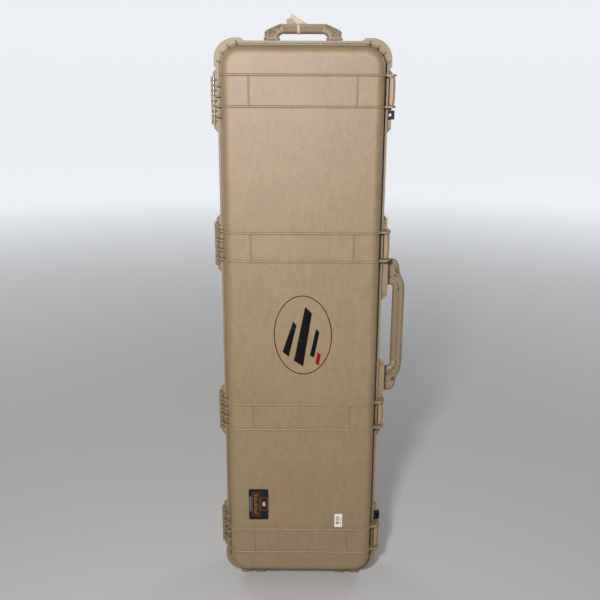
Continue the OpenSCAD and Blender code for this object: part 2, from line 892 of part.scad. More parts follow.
// a bow's face: the outer edge on both sides, less the opening and its rounded rim
module bow_face(edge, open_x, open_y, corner, rim_r) {
    half_open = open_x + rim_r;
    top = open_y + rim_r;
    low = edge[0][1];
    difference() {
        for (s = [0, 1])
            mirror([s, 0]) polygon(concat([[0, low]], edge, [[0, edge[len(edge) - 1][1]]]));
        translate([-half_open, low - 1]) square([2 * half_open, top - corner - rim_r - low + 1]);
        translate([-open_x + corner, low - 1]) square([2 * (open_x - corner), top - low + 1]);
        for (s = [-1, 1])
            translate([s * (open_x - corner), open_y - corner]) circle(corner + rim_r);
    }
}

// the rounded rim round the opening, from one block over the bar to the other
module bow_rim(low, open_x, open_y, corner, rim_r) {
    translate([0, open_y + rim_r, 0]) rotate([0, 90, 0])
        cylinder(r = rim_r, h = 2 * (open_x - corner), center = true);
    for (s = [0, 1])
        mirror([s, 0, 0]) {
            translate([open_x - corner, open_y - corner, 0])
                rotate_extrude(angle = 90) translate([corner + rim_r, 0]) circle(rim_r);
            if (open_y - corner > low)
                translate([open_x + rim_r, low, 0]) rotate([-90, 0, 0])
                    cylinder(r = rim_r, h = open_y - corner - low);
        }
}

// a bow in its own frame: pivot along x at the origin, reach along +y, thickness along z
module bow(half, knuckle, outer, face, open_x, open_y, corner, thick, grip_l) {
    rim_r = thick / 2;
    inner = half - knuckle;
    low = outer[0][1];
    tooth_pitch = knuckle / 5;
    difference() {
        union() {
            linear_extrude(height = thick - 3, center = true)
                bow_face(outer, open_x, open_y, corner, rim_r);
            linear_extrude(height = thick, center = true)
                bow_face(face, open_x, open_y, corner, rim_r);
            bow_rim(low, open_x, open_y, corner, rim_r);
            for (s = [-1, 1])
                translate([s * (half - knuckle / 2), 0, 0]) {
                    translate([-knuckle / 2, 0, -rim_r]) cube([knuckle, low + 1, thick]);
                    rotate([0, 90, 0]) cylinder(r = rim_r, h = knuckle, center = true);
                }
        }
        // waist that the sleeve fills round the bar
        translate([-grip_l / 2, open_y - 1, -thick]) cube([grip_l, sleeve_t + 1, 2 * thick]);
        for (s = [0, 1])
            mirror([0, 0, s])
                translate([-grip_l / 2, open_y, rim_r - sleeve_t]) cube([grip_l, sleeve_d, thick]);
        // room for the inner lugs
        for (s = [0, 1])
            mirror([s, 0, 0]) translate([inner - lug_t - 2 * lug_gap, -thick, -thick])
                cube([lug_t + 2 * lug_gap, thick + low, 2 * thick]);
        // teeth round the knuckles
        for (s = [-1, 1], k = [-1.5, -0.5, 0.5, 1.5])
            translate([s * (half - knuckle / 2) + k * tooth_pitch, 0, 0])
                rotate([0, 90, 0])
                    difference() {
                        cylinder(r = rim_r + 1, h = tooth_pitch * 0.45, center = true);
                        cylinder(r = handle_pin_r + 2, h = tooth_pitch, center = true);
                        translate([-thick, rim_r * 0.6, -knuckle])
                            cube([2 * thick, thick, 2 * knuckle]);
                    }
        for (s = [-1, 1])
            translate([s * (half - knuckle / 2), 0, 0]) rotate([0, 90, 0])
                cylinder(r = handle_pin_r + run_gap, h = knuckle + 2, center = true);
    }
}

// a slanted slot in both faces of the side handle's blocks
module side_slots() {
    for (s = [0, 1], t = [0, 1])
        mirror([s, 0, 0]) mirror([0, 0, t])
            translate([side_half - 26, side_reach - 19.5, side_t / 2 - 3]) rotate([0, 0, -16])
                linear_extrude(height = 4) rounded_rect(12, 5.5, 2);
}

// the sleeve: round towards the opening, open towards the bow's outer edge
module bow_sleeve(open_y, thick, grip_l) {
    depth = sleeve_d - seat_gap;
    translate([0, open_y, 0]) rotate([90, 0, 90])
        linear_extrude(height = grip_l - 2 * seat_gap, center = true)
            difference() {
                union() {
                    translate([thick / 2, -thick / 2]) square([depth - thick / 2, thick]);
                    intersection() {
                        translate([thick / 2, 0]) circle(thick / 2);
                        translate([0, -thick / 2]) square([depth, thick]);
                    }
                }
                translate([sleeve_t, -thick / 2 + sleeve_t])
                    square([depth, thick - 2 * sleeve_t]);
            }
}

module at_side() {
    stand() translate([side_x, mid_y, -handle_z]) rotate([0, 0, -90]) children();
}

module at_end() {
    stand() translate([0, end_pivot_y, -handle_z]) children();
}

module side_handle() {
    color("tan") at_side() difference() {
        bow(side_half, side_knuckle, side_edge(0), side_edge(bevel), side_open_x, side_open_y,
            side_corner, side_t, side_grip_l);
        side_slots();
    }
}

module side_grip() {
    color("dimgray") at_side() bow_sleeve(side_open_y, side_t, side_grip_l);
}

module end_handle() {
    color("tan") at_end()
        bow(end_half, end_knuckle, end_edge(0), end_edge(bevel), end_open_x, end_open_y,
            end_corner, end_t, end_grip_l);
}

module end_grip() {
    color("dimgray") at_end() bow_sleeve(end_open_y, end_t, end_grip_l);
}

module side_handle_pins() {
    color("silver")
    stand() for (s = [-1, 1])
        pin(side_x, mid_y + s * (side_half - side_knuckle / 2), -handle_z, handle_pin_r,
            side_knuckle + 2 * (lug_gap + lug_t));
}

module end_handle_pins() {
    color("silver")
    stand() for (s = [-1, 1])
        translate([s * (end_half - end_knuckle / 2), end_pivot_y, -handle_z])
            rotate([0, 90, 0])
                cylinder(r = handle_pin_r, h = end_knuckle + 2 * (lug_gap + lug_t), center = true);
}

// a paper strap looped round the end handle's grip
module tag_strap() {
    strap_w = 7;
    strap_t = 0.6;
    loop_l = 44;
    loop_w = end_t + 2;
    color("ivory")
    at_end() translate([-10, end_open_y + loop_l / 2 - 1, 0])
        rotate([90, 0, 90])
            linear_extrude(height = strap_w, center = true)
                difference() {
                    rounded_rect(loop_l, loop_w, 5.5);
                    rounded_rect(loop_l - 2 * strap_t, loop_w - 2 * strap_t, 4.9);
                }
}

// ---- pressure valve, in the base's latch side ----

valve_stem_r = 8;
valve_seal_t = 1.5;

module at_valve() {
    stand() translate([half_w, valve_at, valve_z]) rotate([0, 90, 0]) children();
}

module valve_body() {
    color("black")
    at_valve() difference() {
        union() {
            translate([0, 0, valve_seal_t]) cylinder(r = valve_r, h = 2.5);
            translate([0, 0, -wall - 7]) cylinder(r = valve_stem_r, h = wall + 7 + valve_seal_t);
        }
        translate([0, 0, valve_seal_t + 1]) cylinder(r = 5, h = 4);
        translate([0, 0, -wall - 8]) cylinder(r = 1.5, h = wall + 20);
    }
}

module valve_seal() {
    color("darkslategray")
    at_valve() difference() {
        cylinder(r = valve_r - 1, h = valve_seal_t);
        translate([0, 0, -through]) cylinder(r = valve_stem_r + run_gap, h = 5);
    }
}

module valve_nut() {
    color("dimgray")
    at_valve() translate([0, 0, -wall - 6]) difference() {
        cylinder(r = valve_r, h = 6, $fn = 6);
        translate([0, 0, -through]) cylinder(r = valve_stem_r + run_gap, h = 8);
    }
}

module valve_vent() {
    color("gray")
    at_valve() translate([0, 0, valve_seal_t + 1]) cylinder(r = 5 - seat_gap, h = 1);
}

// ---- wheels ----

bearing_r = 11;
bearing_w = 7;
hub_r = wheel_r - 6;

module at_wheel(side) {
    stand() translate([side * foot_x, wheel_y, wheel_z]) rotate([0, 90, 0]) children();
}

module wheel_hub(side) {
    color("dimgray")
    at_wheel(side) difference() {
        cylinder(r = hub_r, h = wheel_w - 2, center = true);
        cylinder(r = axle_r + 1, h = wheel_w, center = true);
        for (s = [0, 1])
            mirror([0, 0, s]) translate([0, 0, wheel_w / 2 - 1 - bearing_w])
                cylinder(r = bearing_r, h = bearing_w + 1);
    }
}

module wheel_tyre(side) {
    color("black")
    at_wheel(side) rotate_extrude() difference() {
        union() {
            translate([hub_r, -wheel_w / 2 + 1]) square([wheel_r - hub_r - 2, wheel_w - 2]);
            translate([hub_r, -wheel_w / 2 + 3]) square([wheel_r - hub_r, wheel_w - 6]);
            for (s = [-1, 1])
                translate([wheel_r - 2, s * (wheel_w / 2 - 3)]) circle(2);
        }
        translate([wheel_r, 0]) circle(1.5);
    }
}

module wheel_bearings(side) {
    color("silver")
    at_wheel(side) for (s = [0, 1])
        mirror([0, 0, s]) translate([0, 0, wheel_w / 2 - 1 - bearing_w])
            difference() {
                cylinder(r = bearing_r, h = bearing_w);
                translate([0, 0, -through]) cylinder(r = axle_r + run_gap, h = bearing_w + 2);
            }
}

module wheel_axles() {
    color("silver")
    for (side = [-1, 1])
        at_wheel(side) cylinder(r = axle_r, h = well_w + 2 * cheek_t + 4, center = true);
}

clip_r = axle_r + 3;
clip_t = 1.5;

// push-on clips at both ends of each axle
module axle_clips() {
    color("silver")
    for (side = [-1, 1], s = [0, 1])
        at_wheel(side) mirror([0, 0, s])
            translate([0, 0, well_w / 2 + cheek_t]) difference() {
                cylinder(r = clip_r, h = clip_t);
                translate([0, 0, -through]) cylinder(r = axle_r, h = clip_t + 2);
            }
}

module wheel_hub_left() { wheel_hub(-1); }
module wheel_hub_right() { wheel_hub(1); }
module wheel_tyre_left() { wheel_tyre(-1); }
module wheel_tyre_right() { wheel_tyre(1); }
module wheel_bearings_left() { wheel_bearings(-1); }
module wheel_bearings_right() { wheel_bearings(1); }

base_shell();
base_foam_pad();
base_foam_frame();
hinge_pins();
base_lock_plates();
side_handle_pins();
end_handle_pins();
valve_body();
valve_seal();
valve_nut();
valve_vent();
wheel_axles();
axle_clips();
lid_shell();
lid_gasket();
lid_foam();
lid_lock_plates();
latch_pins();
latch_arm_1();
latch_arm_2();
latch_arm_3();
latch_arm_4();
lever_pin_1();
lever_pin_2();
lever_pin_3();
lever_pin_4();
latch_lever_1();
latch_lever_2();
latch_lever_3();
latch_lever_4();
side_handle();
side_grip();
end_handle();
end_grip();
tag_strap();
wheel_hub_left();
wheel_hub_right();
wheel_tyre_left();
wheel_tyre_right();
wheel_bearings_left();
wheel_bearings_right();
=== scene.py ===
# Finishes, foam, printed marks and paper tag of a long hard transport case that
# stands on its wheel end. The sections follow the case as it is put together.
import math
import bmesh
import bpy
from mathutils import Matrix, Vector, noise


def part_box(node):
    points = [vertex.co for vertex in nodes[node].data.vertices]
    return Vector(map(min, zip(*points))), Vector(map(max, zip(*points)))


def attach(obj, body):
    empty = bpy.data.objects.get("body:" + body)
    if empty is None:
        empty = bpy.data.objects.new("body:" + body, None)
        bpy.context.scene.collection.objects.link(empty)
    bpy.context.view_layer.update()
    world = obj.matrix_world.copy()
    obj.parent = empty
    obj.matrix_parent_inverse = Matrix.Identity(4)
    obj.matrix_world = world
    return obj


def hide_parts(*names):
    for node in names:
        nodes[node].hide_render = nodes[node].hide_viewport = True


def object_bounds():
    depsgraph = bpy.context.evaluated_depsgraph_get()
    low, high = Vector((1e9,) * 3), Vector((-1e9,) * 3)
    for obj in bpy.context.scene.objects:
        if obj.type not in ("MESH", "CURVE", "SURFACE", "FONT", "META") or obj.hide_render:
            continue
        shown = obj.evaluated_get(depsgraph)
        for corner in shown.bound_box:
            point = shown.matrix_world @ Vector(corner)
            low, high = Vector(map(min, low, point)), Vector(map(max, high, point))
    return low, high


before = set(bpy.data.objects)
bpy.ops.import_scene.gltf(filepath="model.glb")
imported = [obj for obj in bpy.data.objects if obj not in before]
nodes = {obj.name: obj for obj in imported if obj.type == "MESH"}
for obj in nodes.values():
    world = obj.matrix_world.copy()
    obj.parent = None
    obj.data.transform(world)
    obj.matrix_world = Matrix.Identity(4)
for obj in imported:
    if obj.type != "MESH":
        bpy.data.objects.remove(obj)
cad_box = [list(corner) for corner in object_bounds()]

# ---- View -------------------------------------------------------------------
# An observer stands a good step in front of the lid, eyes a little below the
# top of the case, and looks down at its middle.

parting_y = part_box("lid_lock_plates")[1].y
middle_x = (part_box("lid_foam")[0].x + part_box("lid_foam")[1].x) / 2
step_back, eye_height = 1.7235, 1.2542
look_down, turn_left, lean = 16.13, 0.14, 0.26       # degrees
eye = Vector((middle_x, parting_y - step_back, eye_height))

lens = bpy.data.cameras.new("observer")
lens.sensor_width = 36
lens.lens = 45.2
observer = bpy.data.objects.new("observer", lens)
observer.matrix_world = (
    Matrix.Translation(eye)
    @ Matrix.Rotation(math.radians(turn_left), 4, "Z")
    @ Matrix.Rotation(math.radians(90 - look_down), 4, "X")
    @ Matrix.Rotation(math.radians(lean), 4, "Z")
)
bpy.context.collection.objects.link(observer)
bpy.context.scene.camera = observer


# ---- Studio -----------------------------------------------------------------
# A plain pale floor and soft lights: a key just above the observer, which shines
# back off the upper half of the lid and leaves the feet darker, and a weak rim
# light behind on each side. The backdrop glows softly, most of all behind the case.

def lamp(name, at, aim, size, watts, tint):
    light = bpy.data.lights.new(name, "AREA")
    light.shape = "DISK"
    light.size = size
    light.energy = watts
    light.color = tint
    lamp_object = bpy.data.objects.new(name, light)
    lamp_object.location = at
    lamp_object.rotation_euler = (Vector(aim) - Vector(at)).to_track_quat("-Z", "Y").to_euler()
    bpy.context.collection.objects.link(lamp_object)


case_middle = (cad_box[0][2] + cad_box[1][2]) / 2
lamp("key", (eye.x - 0.30, eye.y - 0.06, eye.z + 0.27), (0, 0, case_middle), 0.22, 44,
     (1.0, 0.975, 0.99))
lamp("rim_left", (-2.0, 2.2, 2.2), (0, 0, case_middle), 1.2, 18, (1.0, 0.98, 0.95))
lamp("rim_right", (2.2, 2.0, 2.0), (0, 0, case_middle), 1.2, 16, (0.95, 0.97, 1.0))

world = bpy.data.worlds.new("studio")
world.use_nodes = True
world.node_tree.nodes["Background"].inputs["Color"].default_value = (0.95, 0.95, 0.96, 1)
world.node_tree.nodes["Background"].inputs["Strength"].default_value = 0.21
bpy.context.scene.world = world
bpy.context.scene.view_settings.view_transform = "Standard"
bpy.context.scene.view_settings.look = "None"


def placed(name, shape, smooth=True):
    """The shape that was built, as an object in the scene."""
    mesh = bpy.data.meshes.new(name)
    shape.to_mesh(mesh)
    shape.free()
    for face in mesh.polygons:
        face.use_smooth = smooth
    piece = bpy.data.objects.new(name, mesh)
    bpy.context.collection.objects.link(piece)
    return piece


sides = 96
profile = ((0.05, 0), (1.5, 0), (3, 0), (5, 0), (7, 0), (8.2, 0.25), (8.8, 0.9), (9, 2), (9, 5))
bowl = bmesh.new()
rings = []
for radius, height in profile:
    rings.append([bowl.verts.new((radius * math.cos(math.tau * k / sides),
                                  radius * math.sin(math.tau * k / sides), height))
                  for k in range(sides)])
bowl.faces.new(rings[0])
for inner, outer in zip(rings, rings[1:]):
    for k in range(sides):
        following = (k + 1) % sides
        bowl.faces.new((inner[k], inner[following], outer[following], outer[k]))
bmesh.ops.recalc_face_normals(bowl, faces=bowl.faces)
backdrop = placed("backdrop", bowl)


class Wire:
    """The output of one node, so that the sums of a finish read as sums."""

    def __init__(self, finish, socket):
        self.finish = finish
        self.socket = socket

    def sum(self, operation, first, second):
        return self.finish.node("Math", {"operation": operation}, {0: first, 1: second})

    def __add__(self, other):
        return self.sum("ADD", self, other)

    def __radd__(self, other):
        return self.sum("ADD", other, self)

    def __sub__(self, other):
        return self.sum("SUBTRACT", self, other)

    def __rsub__(self, other):
        return self.sum("SUBTRACT", other, self)

    def __mul__(self, other):
        return self.sum("MULTIPLY", self, other)

    def __rmul__(self, other):
        return self.sum("MULTIPLY", other, self)

    def __gt__(self, other):
        return self.sum("GREATER_THAN", self, other)


class Finish:
    """A material being made: its shader, with constants set, and nodes for what varies."""

    def __init__(self, name, **constants):
        self.material = bpy.data.materials.new(name)
        self.material.use_nodes = True
        self.tree = self.material.node_tree
        self.shader = self.tree.nodes["Principled BSDF"]
        for socket, value in constants.items():
            self.shader.inputs[socket.replace("_", " ")].default_value = value
        self.place = self.node("TexCoord", out="Object")

    def node(self, kind, settings=None, sockets=None, out=0):
        """A new node with its settings made, then its sockets linked or set."""
        node = self.tree.nodes.new("ShaderNode" + kind)
        for name, value in (settings or {}).items():
            setattr(node, name, value)
        for socket, value in (sockets or {}).items():
            self.join(value, node.inputs[socket])
        return Wire(self, node.outputs[out])

    def join(self, value, socket):
        if isinstance(value, Wire):
            self.tree.links.new(value.socket, socket)
        else:
            socket.default_value = value

    def feed(self, **inputs):
        for socket, value in inputs.items():
            self.join(value, self.shader.inputs[socket.replace("_", " ")])

    def stretched(self, stretch, turn=(0, 0, 0)):
        """The place on the piece, squeezed along its axes after a turn."""
        return self.node("Mapping", {}, {"Vector": self.place, "Rotation": turn, "Scale": stretch})

    def noise(self, scale, detail=3, roughness=0.5, place=None):
        return self.node(
            "TexNoise", {},
            {"Vector": place or self.place, "Scale": scale, "Detail": detail,
             "Roughness": roughness})

    def cells(self, scale):
        """The distance to the middle of the nearest of many irregular cells."""
        return self.node("TexVoronoi", {}, {"Vector": self.place, "Scale": scale}, "Distance")

    def between(self, value, low, high):
        """0 below low, 1 above high, and a smooth rise between them."""
        return self.node("MapRange", {"interpolation_type": "SMOOTHSTEP"},
                         {"Value": value, "From Min": low, "From Max": high})

    def mix(self, mask, plain, marked):
        return self.node("Mix", {"data_type": "RGBA"}, {0: mask, 6: plain, 7: marked}, 2)

    def bump(self, height, depth, strength, under=None):
        sockets = {"Height": height, "Distance": depth, "Strength": strength}
        if under is not None:
            sockets["Normal"] = under
        return self.node("Bump", {}, sockets)

    def soft_edge(self, radius):
        """The surface's normal with its corners rounded to a radius."""
        return self.node("Bevel", {"samples": 4}, {"Radius": radius})

    def worn_edge(self, soft, low, high):
        """1 where the rounded normal leaves the true one, as along a rubbed edge."""
        true = self.node("NewGeometry", out="True Normal")
        same = self.node("VectorMath", {"operation": "DOT_PRODUCT"}, {0: soft, 1: true}, "Value")
        return self.between(1 - same, low, high)

    def crevice(self, distance):
        """1 where nearby surfaces close in, 0 in the open."""
        open_share = self.node("AmbientOcclusion", {"samples": 5, "only_local": True},
                               {"Distance": distance}, "AO")
        return 1 - open_share


paint = Finish("pale_backdrop_paint", Base_Color=(0.45, 0.45, 0.44, 1), Roughness=0.8,
               Emission_Strength=1.0)
away = paint.between(
    paint.node("VectorMath", {"operation": "LENGTH"}, {0: paint.place}, "Value"), 0.6, 7.5)
behind = paint.between(paint.node("SeparateXYZ", {}, {0: paint.place}, "Y"), -1.5, 3.5)
glow = paint.mix(behind, (0.10, 0.10, 0.105, 1), (0.62, 0.64, 0.67, 1))
paint.feed(Emission_Color=paint.mix(away, (0.03, 0.03, 0.03, 1), glow))
backdrop.data.materials.append(paint.material)


# ---- Shells -----------------------------------------------------------------
# Lid and base are injection moulded in a desert-tan structural resin. The skin
# is finely pebbled, with painted shade darkening the corners beside the ribs,
# and long use has left dark specks, a few pale scuffs and rubbed edges.

def shell_plastic(name, tan, shade, roughness):
    edge_radius = 0.0011
    grain_depth = 0.00035
    corner_reach, crevice_reach = 0.035, 0.008      # how far the painted shade spreads out of them
    finish = Finish(name, Specular_IOR_Level=1.0, IOR=1.5)
    clouds = finish.noise(9, 4, 0.55)
    suede = finish.noise(210, 4, 0.65)
    streaks = finish.noise(1, 4, 0.6, finish.stretched((85, 85, 34), (0, 0.15, 0)))
    tone = finish.between(clouds * 0.2 + suede * 0.45 + streaks * 0.35, 0.34, 0.66)
    colour = finish.mix(tone, shade, tan)

    # Painted shade: where nearby surfaces close in, the colour is darkened towards dark brown.
    painted_corner_shade = finish.between(finish.crevice(corner_reach), 0.12, 0.62)
    colour = finish.mix(painted_corner_shade * 0.38, colour, (0.085, 0.060, 0.031, 1))
    patchy = 0.55 + 0.9 * finish.noise(55, 2)
    # Painted shade: narrow creases beside the ribs are darkened in patches towards near-black, and
    # made rougher.
    painted_crevice_shade = finish.between(finish.crevice(crevice_reach) * patchy, 0.40, 1.0)
    colour = finish.mix(painted_crevice_shade * 0.45, colour, (0.040, 0.028, 0.017, 1))

    patches = finish.between(finish.noise(7.5, 2), 0.52, 0.68)
    specks = finish.between(finish.noise(230, 1, 0.4), 0.735, 0.765) * patches
    dots = 1 - finish.between(finish.cells(38), 0.045, 0.075)
    rare = finish.noise(38, 0) > 0.60
    colour = finish.mix(specks * 0.7, colour, (0.055, 0.036, 0.023, 1))
    colour = finish.mix(dots * rare * 0.75, colour, (0.045, 0.03, 0.02, 1))

    scuff_place = finish.stretched((60, 60, 9), (0, 0.35, 0.2))
    scuffs = finish.between(finish.noise(6, 5, 0.6, scuff_place), 0.67, 0.74)
    colour = finish.mix(scuffs * 0.35, colour, (0.42, 0.35, 0.27, 1))

    soft = finish.soft_edge(edge_radius)
    rubbed = finish.worn_edge(soft, 0.02, 0.16) * finish.between(finish.noise(120, 3), 0.35, 0.6)
    colour = finish.mix(rubbed * 0.38, colour, (0.44, 0.36, 0.27, 1))

    pebbles = finish.noise(1400, 2, 0.6)
    dapple = finish.noise(80, 3, 0.6)
    height = pebbles + suede * 0.5 + dapple * 1.6 - scuffs * 0.6
    finish.feed(
        Base_Color=colour,
        Roughness=roughness + painted_crevice_shade * 0.4 - scuffs * 0.08 + 0.08 * suede,
        Normal=finish.bump(height, grain_depth, 0.55, soft),
    )
    return finish


def dress(finish, *names):
    """Gives carried-over pieces their finish."""
    for name in names:
        for slot in nodes[name].material_slots:
            slot.material = finish.material


sand = (0.258, 0.177, 0.083, 1)
sand_shade = (0.198, 0.134, 0.060, 1)
case_plastic = shell_plastic("sand_shell_plastic", sand, sand_shade, 0.52)
dress(case_plastic, "base_shell", "lid_shell")


# ---- Latches ----------------------------------------------------------------
# Each latch is an arm and a lever moulded in a harder, smoother and slightly
# more orange resin, on steel pins.

latch_names = [n for n in nodes if n.startswith(("latch_arm", "latch_lever"))]
latch_plastic = shell_plastic(
    "ochre_latch_plastic", (0.315, 0.200, 0.094, 1), (0.262, 0.165, 0.077, 1), 0.5)
dress(latch_plastic, *latch_names)


# ---- Handles ----------------------------------------------------------------
# Both handles are glass-filled mouldings with a soft sleeve on the bar. Their
# faces are cored out between the round bar and the outer rim, front and back.

def applied(piece):
    """Turns the piece's modifiers into its mesh."""
    bpy.context.view_layer.update()
    evaluated = piece.evaluated_get(bpy.context.evaluated_depsgraph_get())
    mesh = bpy.data.meshes.new_from_object(evaluated)
    piece.modifiers.clear()
    piece.data = mesh
    return mesh


def cored(name, node, pins, along, out, across, each_side):
    """The moulding less its corings, each a depth and an outline in millimetres along
    and out from the pins. An outline in across runs from mid length to one end and is
    mirrored into one; one in each_side is also cut on the other side."""
    proud = 0.001                                   # the cutters stand this far off a face
    front, back = (corner.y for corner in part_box(node))
    pivot = sum(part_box(pins), Vector()) / 2
    outlines = [(depth, half + [(-a, o) for a, o in reversed(half)]) for depth, half in across]
    outlines += [(depth, [(side * a, o) for a, o in outline])
                 for depth, outline in each_side for side in (-1, 1)]
    cores = bmesh.new()
    for depth, outline in outlines:
        for face_y, inward in ((front, 1), (back, -1)):
            corners = []
            for a, o in outline:
                place = pivot + (along * a + out * o) / 1000
                corners.append(cores.verts.new((place.x, face_y - inward * proud, place.z)))
            raised = bmesh.ops.extrude_face_region(cores, geom=[cores.faces.new(corners)])
            for part in raised["geom"]:
                if isinstance(part, bmesh.types.BMVert):
                    part.co.y += inward * (proud + depth / 1000)
    bmesh.ops.recalc_face_normals(cores, faces=cores.faces)
    cutters = placed("cores", cores, smooth=False)

    blank = bmesh.new()
    blank.from_mesh(nodes[node].data)
    bmesh.ops.remove_doubles(blank, verts=blank.verts, dist=0.000005)
    handle = placed(name, blank)
    cut = handle.modifiers.new("corings", "BOOLEAN")
    cut.operation = "DIFFERENCE"
    cut.solver = "EXACT"
    cut.object = cutters
    mesh = applied(handle)
    bpy.data.objects.remove(cutters)
    for face in mesh.polygons:
        face.use_smooth = True
    mesh.set_sharp_from_angle(angle=math.radians(32))
    handle.modifiers.new("flat faces", "WEIGHTED_NORMAL").keep_sharp = True
    mesh.materials.clear()
    mesh.materials.append(handle_plastic.material)
    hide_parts(node)
    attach(handle, node)


handle_plastic = shell_plastic(
    "sand_handle_plastic", (0.235, 0.160, 0.080, 1), (0.185, 0.125, 0.061, 1), 0.55)
upwards, sideways = Vector((0, 0, 1)), Vector((1, 0, 0))
bar_and_shoulder = [
    (0, 37.7), (95, 37.7), (103, 36.6), (111, 32.8), (117, 27), (120.5, 20), (121, 13),
    (126.5, 13), (126.5, 35), (122, 38.5), (115, 43), (108, 45.6), (92, 47), (0, 47)]
end_slot = [(132, 30.6), (142.5, 27.6), (143.6, 31.2), (133.1, 34.2)]
cored("side_handle_moulding", "side_handle", "side_handle_pins", upwards, sideways,
      [(3, bar_and_shoulder)], [(9, end_slot)])
bow_strip = [(0, 29.6), (44, 29.6), (44, 33.2), (0, 33.2)]
arm_pocket = [(76, 20.6), (69, 24), (54, 30.4), (49.5, 31.6), (49.5, 29.9), (56, 27.4),
              (61.5, 23), (63, 20.6)]
outer_foot_pocket = [(78.5, 10), (82.5, 10), (82.5, 18), (78.5, 19)]
inner_foot_pocket = [(66.5, 10), (75.5, 10), (72, 19), (66.5, 19)]
cored("end_handle_moulding", "end_handle", "end_handle_pins", sideways, upwards,
      [(2.5, bow_strip)], [(4, arm_pocket), (4, outer_foot_pocket), (4, inner_foot_pocket)])
grip_rubber = shell_plastic(
    "sand_grip_rubber", (0.195, 0.128, 0.060, 1), (0.160, 0.104, 0.048, 1), 0.65)
dress(grip_rubber, "side_grip", "end_grip")


# ---- Steel ------------------------------------------------------------------
# The pins of the hinge, latches and handles and the wheel axles are drawn rod.
# The padlock plates and axle clips are pressed sheet, and the bearings are ground
# rings.

def steel(name, tone, roughness, grain):
    finish = Finish(name, Metallic=1.0)
    lines = finish.noise(1, 3, 0.6, finish.stretched(grain))
    smudge = finish.noise(60, 3)
    colour = finish.mix(smudge, tone, tuple(0.72 * part for part in tone[:3]) + (1,))
    soft = finish.soft_edge(0.0004)
    finish.feed(
        Base_Color=colour,
        Roughness=roughness + 0.18 * lines + 0.1 * smudge,
        Normal=finish.bump(lines, 0.00006, 0.5, soft),
    )
    return finish


pin_steel = steel("drawn_pin_steel", (0.42, 0.415, 0.40, 1), 0.26, (900, 900, 40))
dress(pin_steel, "hinge_pins", "side_handle_pins", "latch_pins", "lever_pin_1", "lever_pin_2",
      "lever_pin_3", "lever_pin_4")
rod_steel = steel("drawn_rod_steel", (0.42, 0.415, 0.40, 1), 0.26, (40, 900, 900))
dress(rod_steel, "end_handle_pins", "wheel_axles")
# Painted reflection: the near-black metal colour stands in for the plates reflecting dark
# surroundings.
plate_steel = steel("dark_reflection_plate_steel", (0.030, 0.032, 0.036, 1), 0.38, (60, 900, 900))
dress(plate_steel, "lid_lock_plates", "base_lock_plates", "axle_clips")
bearing_steel = steel("ground_bearing_steel", (0.75, 0.75, 0.76, 1), 0.12, (300, 900, 900))
dress(bearing_steel, "wheel_bearings_left", "wheel_bearings_right")


# ---- Seals, valve and wheels ------------------------------------------------
# The lid's seal and the valve's ring are extruded and moulded rubber. The valve
# screws through the base's side. The wheels are nylon hubs with rubber tyres
# pressed over them. All but the valve's white vent are black, and a little dusty.

def dusty_part(name, tone, roughness, grain, depth):
    finish = Finish(name, Specular_IOR_Level=0.4)
    dust = finish.between(finish.noise(45, 4, 0.6), 0.45, 0.75)
    colour = finish.mix(dust * 0.4, tone, (0.11, 0.10, 0.09, 1))
    soft = finish.soft_edge(0.0008)
    finish.feed(
        Base_Color=colour,
        Roughness=roughness + 0.15 * dust,
        Normal=finish.bump(finish.noise(grain, 2), depth, 0.6, soft),
    )
    return finish


seal_rubber = dusty_part("black_seal_rubber", (0.018, 0.018, 0.018, 1), 0.55, 900, 0.0002)
dress(seal_rubber, "lid_gasket", "valve_seal")
valve_plastic = dusty_part("black_valve_plastic", (0.022, 0.022, 0.023, 1), 0.35, 1200, 0.0001)
dress(valve_plastic, "valve_body", "valve_nut")
vent_membrane = dusty_part("white_vent_membrane", (0.62, 0.62, 0.60, 1), 0.8, 2500, 0.0001)
dress(vent_membrane, "valve_vent")
wheel_plastic = dusty_part("black_wheel_plastic", (0.03, 0.03, 0.031, 1), 0.45, 1100, 0.0002)
dress(wheel_plastic, "wheel_hub_left", "wheel_hub_right")
wheel_rubber = dusty_part("black_wheel_rubber", (0.02, 0.02, 0.02, 1), 0.7, 600, 0.0004)
dress(wheel_rubber, "wheel_tyre_left", "wheel_tyre_right")


# ---- Foam -------------------------------------------------------------------
# The base holds a solid pad under a frame cut with three bays; the lid holds
# convoluted foam. All three are open-cell polyurethane, cut slightly oversize
# and pressed in, so their edges are soft and their faces not quite flat.

foam_finish = Finish("charcoal_foam", Specular_IOR_Level=0.2)
cell_size = foam_finish.noise(900, 2, 0.7)
open_cells = 1 - foam_finish.between(foam_finish.cells(1100), 0.15, 0.45)
foam_colour = foam_finish.mix(
    foam_finish.between(foam_finish.noise(14, 4), 0.35, 0.7), (0.030, 0.030, 0.033, 1),
    (0.048, 0.048, 0.052, 1))
foam_finish.feed(
    Base_Color=foam_finish.mix(open_cells * 0.6, foam_colour, (0.012, 0.012, 0.013, 1)),
    Roughness=0.88 + 0.1 * cell_size,
    Normal=foam_finish.bump(cell_size - open_cells * 0.8, 0.0009, 0.8),
)


